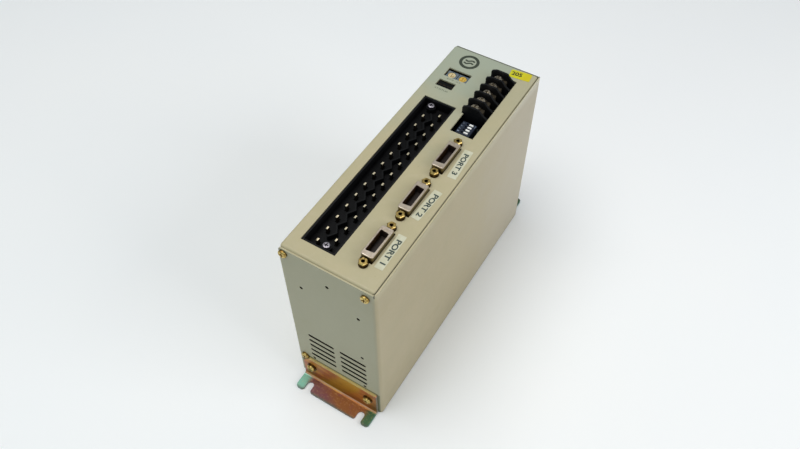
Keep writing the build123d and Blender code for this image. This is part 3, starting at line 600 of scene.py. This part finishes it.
def lettering(name, words, centre, size, turn, ink_film, boldness=0.0):
    """Raised print of words, scaled to size (along, tall) about centre, turned by turn degrees."""
    curve = bpy.data.curves.new(name, "FONT")
    curve.body = words
    curve.extrude = 1.0
    curve.offset = boldness
    curve.resolution_u = 4
    model = bpy.data.objects.new(name + "_model", curve)
    scene.collection.objects.link(model)
    mesh = bpy.data.meshes.new_from_object(model)
    bpy.data.objects.remove(model)
    low = Vector([min(v.co[i] for v in mesh.vertices) for i in range(3)])
    high = Vector([max(v.co[i] for v in mesh.vertices) for i in range(3)])
    span = high - low
    grow = Matrix.Diagonal((size[0] / span.x, size[1] / span.y, INK_THICKNESS / span.z, 1.0))
    spin = Matrix.Rotation(math.radians(turn), 4, "Z")
    middle = Matrix.Translation(-(low + high) / 2)
    lift = Matrix.Translation(Vector(centre) + Vector((0, 0, INK_THICKNESS / 2)))
    mesh.transform(lift @ spin @ grow @ middle)
    piece = bpy.data.objects.new(name, mesh)
    scene.collection.objects.link(piece)
    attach(piece, "case")
    dress(ink_film, piece)


# ---- tape strips beside the connectors --------------------------------------------------------------
# Lettering tape with a satin face, one strip for each connector, stuck on by hand and so a
# little askew. Each strip carries the number of its port.
def tape_look(place):
    """Pale greenish tape with a faint cloud of trapped air."""
    cloud = place.noise(240, 4).above(0.35, 0.7)
    return {
        "Base_Color": cloud.mix(shade(196, 194, 168), shade(204, 203, 182)),
        "Roughness": 0.34 + cloud * 0.12,
    }


dress(finish("lettering_tape", tape_look), "label_strips")
tape_ink = ink("tape_ink", shade(52, 66, 62), shade(96, 108, 102))
STRIP_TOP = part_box("label_strips")[1].z
# Middle x and y, length and height of each port name, in mm, and the tilt of its strip in degrees.
STRIPS = [(23.5, -71.6, 18.4, 3.5, 0.7), (23.7, -33.3, 19.2, 3.4, -3.9), (24.3, 4.0, 18.2, 3.3, 3.2)]
for number, (x, y, along, tall, tilt) in enumerate(STRIPS, 1):
    at = (x * MM, y * MM, STRIP_TOP)
    size = (along * MM, tall * MM)
    lettering(f"port_name_{number}", f"PORT {number}", at, size, tilt - 90, tape_ink, 0.034)


# ---- yellow tag ------------------------------------------------------------------------------------
# Glossy yellow vinyl with rounded corners at the far right corner of the front panel, marked
# with a stock number in black.
def vinyl_look(place):
    """Strong lemon vinyl, a little orange where it has aged."""
    cloud = place.noise(200, 3).above(0.4, 0.75)
    aged = place.axis("X").above(0.0205, 0.0245)
    base = cloud.mix(shade(204, 200, 34), shade(210, 194, 26))
    return {"Base_Color": (aged * 0.35).mix(base, shade(204, 172, 30)), "Roughness": 0.28 + cloud * 0.12}


dress(finish("yellow_vinyl", vinyl_look), "asset_tag")
marker_ink = ink("marker_ink", shade(40, 40, 24), shade(92, 90, 30))
at = (0.0174, 0.0932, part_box("asset_tag")[1].z)
TAG_TILT = 6.4
lettering("stock_number", "205", at, (0.0070, 0.0036), TAG_TILT, marker_ink, 0.03)


# ---- slide switch -----------------------------------------------------------------------------------
# Four-way slide switch: dark blue block with printed numbers and four white sliders, which
# are CAD pieces on joints of their own.
def block_look(place):
    """Blue-black moulding, slightly glossy."""
    grain = place.noise(900, 3)
    return {
        "Base_Color": grain.above(0.4, 0.7).mix(shade(22, 29, 44), shade(34, 44, 62)),
        "Roughness": 0.34 + grain * 0.16,
        "Normal": place.bump(grain, 0.00002, 0.3),
    }


dress(finish("dip_blue", block_look), "dip_switch_body")
lever_white = speckled("lever_white", shade(246, 246, 244), shade(228, 228, 224), 0.35)
number_ink = ink("number_ink", shade(128, 142, 160), shade(84, 96, 116))
block_low, block_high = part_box("dip_switch_body")
for number in range(1, 5):
    lever = f"dip_lever_{number}"
    dress(lever_white, lever)
    lever_low, lever_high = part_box(lever)
    lever_y = (lever_low.y + lever_high.y) / 2
    at = (block_low.x + 0.0012, lever_y, block_high.z)
    lettering(f"lever_number_{number}", str(number), at, (0.0007, 0.0013), -90, number_ink)
at = (block_high.x - 0.0006, block_high.y - 0.0016, block_high.z)
lettering("lever_on_mark", "ON", at, (0.0018, 0.0008), -90, number_ink)


# ---- rotary code switches ------------------------------------------------------------------------------
# Two ten-way code switches: blue-grey bodies with a printed ring of numerals and moulded dials,
# the left one cream, the right one amber.
def body_look(place):
    """Blue-grey moulding with a fine grain and dusty corners."""
    grain = place.noise(800, 3)
    dust = place.noise(260, 4).above(0.45, 0.75)
    return {
        "Base_Color": (dust * 0.5).mix(shade(98, 110, 120), shade(130, 138, 138)),
        "Roughness": 0.45 + grain * 0.15,
        "Normal": place.bump(grain, 0.00002, 0.3),
    }


dress(finish("switch_grey", body_look), "rotary_switch_bodies")
dial_cream = speckled("dial_cream", shade(218, 202, 160), shade(196, 172, 122), 0.42)
dial_amber = speckled("dial_amber", shade(218, 186, 92), shade(204, 164, 58), 0.4)
dress(dial_cream, "rotary_dial_1")
dress(dial_amber, "rotary_dial_2")
body_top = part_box("rotary_switch_bodies")[1].z
legend_ink = ink("legend_ink", shade(70, 74, 60), shade(130, 130, 108))
for number in (1, 2):
    dial_low, dial_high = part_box(f"rotary_dial_{number}")
    dial_x = (dial_low.x + dial_high.x) / 2
    dial_y = (dial_low.y + dial_high.y) / 2
    for step, numeral in enumerate("0369"):
        turn = step * math.pi / 2
        at = (dial_x + 0.0032 * math.sin(turn), dial_y + 0.00302 * math.cos(turn), body_top)
        name = f"dial_{number}_numeral_{numeral}"
        lettering(name, numeral, at, (0.0005, 0.0008), 0, legend_ink)


# ---- status display ------------------------------------------------------------------------------------
# Smoked acrylic window, almost black; the unlit digits below it show as one faint brown bar
# across its middle.
def smoke_look(place):
    """Near-black gloss with a faint brown bar behind it."""
    window_low, window_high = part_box("display_window")
    middle_y = (window_low.y + window_high.y) / 2
    bars = place.axis("Y").between(middle_y - 0.0004, middle_y + 0.0004, 0.0003)
    haze = place.noise(500, 3)
    base = (bars * haze.above(0.35, 0.6)).mix(shade(12, 12, 13), shade(52, 40, 24))
    return {"Base_Color": base, "Roughness": 0.12 + haze * 0.1}


dress(finish("smoked_acrylic", smoke_look, Specular_IOR_Level=0.2), "display_window")


# ---- printed mark and legends ----------------------------------------------------------------------------
# Screen-printed straight on the enamel in dark green-grey ink: a ring with two waves in it,
# the scale of the two code switches and a word under the display.
mark_ink = ink("mark_ink", shade(50, 58, 46), shade(104, 102, 82))


def ribbon_line(name, points, width, ink_film, closed=False):
    """Printed line of one width through flat points, as a thin solid film on the front panel."""
    def build(bm):
        rows = []
        count = len(points)
        for index, point in enumerate(points):
            before = points[index - 1] if closed or index else points[0]
            after = points[(index + 1) % count] if closed or index < count - 1 else points[-1]
            along = (Vector(after) - Vector(before)).normalized()
            aside = Vector((-along.y, along.x)) * width / 2
            corners = []
            for z in (FRONT_Z, FRONT_Z + INK_THICKNESS):
                for sign in (1, -1):
                    corners.append(bm.verts.new((point[0] + sign * aside.x, point[1] + sign * aside.y, z)))
            rows.append(corners)
        pairs = list(zip(rows, rows[1:] + rows[:1])) if closed else list(zip(rows, rows[1:]))
        for here, there in pairs:
            for a, b in ((0, 1), (1, 3), (3, 2), (2, 0)):
                bm.faces.new((here[a], here[b], there[b], there[a]))
        if not closed:
            for end in (rows[0], rows[-1]):
                bm.faces.new((end[0], end[1], end[3], end[2]))
    line = mesh_piece(name, build, smooth=False)
    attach(line, "case")
    dress(ink_film, line)


MARK = Vector((-0.0150, 0.0877))
RING_R = 0.0058
ring = [(MARK.x + RING_R * math.cos(t * math.pi / 24), MARK.y + RING_R * math.sin(t * math.pi / 24))
        for t in range(48)]
ribbon_line("mark_ring", ring, 0.0021, mark_ink, closed=True)
for row in (-1, 1):
    wave = [(MARK.x + x * MM * 0.36, MARK.y + row * 0.0013 + 0.0008 * math.sin(x * math.pi / 9))
            for x in range(-9, 10)]
    ribbon_line(f"mark_wave_{row + 2}", wave, 0.0013, mark_ink)
at = (-0.0178, 0.0548, FRONT_Z)
lettering("display_legend", "STATUS", at, (0.0094, 0.0012), 0, legend_ink)
at = (-0.0154, 0.0664, FRONT_Z)
lettering("switch_legend", "x10  x1", at, (0.0096, 0.0010), 0, legend_ink)


# ---- inside pieces ------------------------------------------------------------------------------------
# Heat sink, boards and components, seen only through the vents and openings: dull aluminium,
# black epoxy, dark green boards painted near-black as shade, dark sleeves, grey cable and insulating paper.
dress(speckled("sink_aluminium", shade(74, 74, 74), shade(96, 96, 94), 0.45, 1.0), "heatsink")
epoxy = speckled("moulded_epoxy", shade(20, 20, 21), shade(32, 31, 31), 0.5)
dress(epoxy, "power_module", "rectifier", "control_chips", "status_display", "relay", "transformer")
# dark green solder mask, painted near-black as shade
solder_mask = speckled("shade_dark_solder_mask", shade(9, 17, 13), shade(14, 26, 18), 0.4)
dress(solder_mask, "power_board", "control_board", "switch_board")
dress(speckled("capacitor_sleeve", shade(25, 27, 34), shade(34, 36, 46), 0.25), "bus_capacitors")
dress(speckled("grey_ribbon", shade(110, 110, 112), shade(128, 128, 132), 0.45), "ribbon_cable")
dress(speckled("fish_paper", shade(84, 82, 74), shade(98, 96, 86), 0.7), "insulating_sheet")
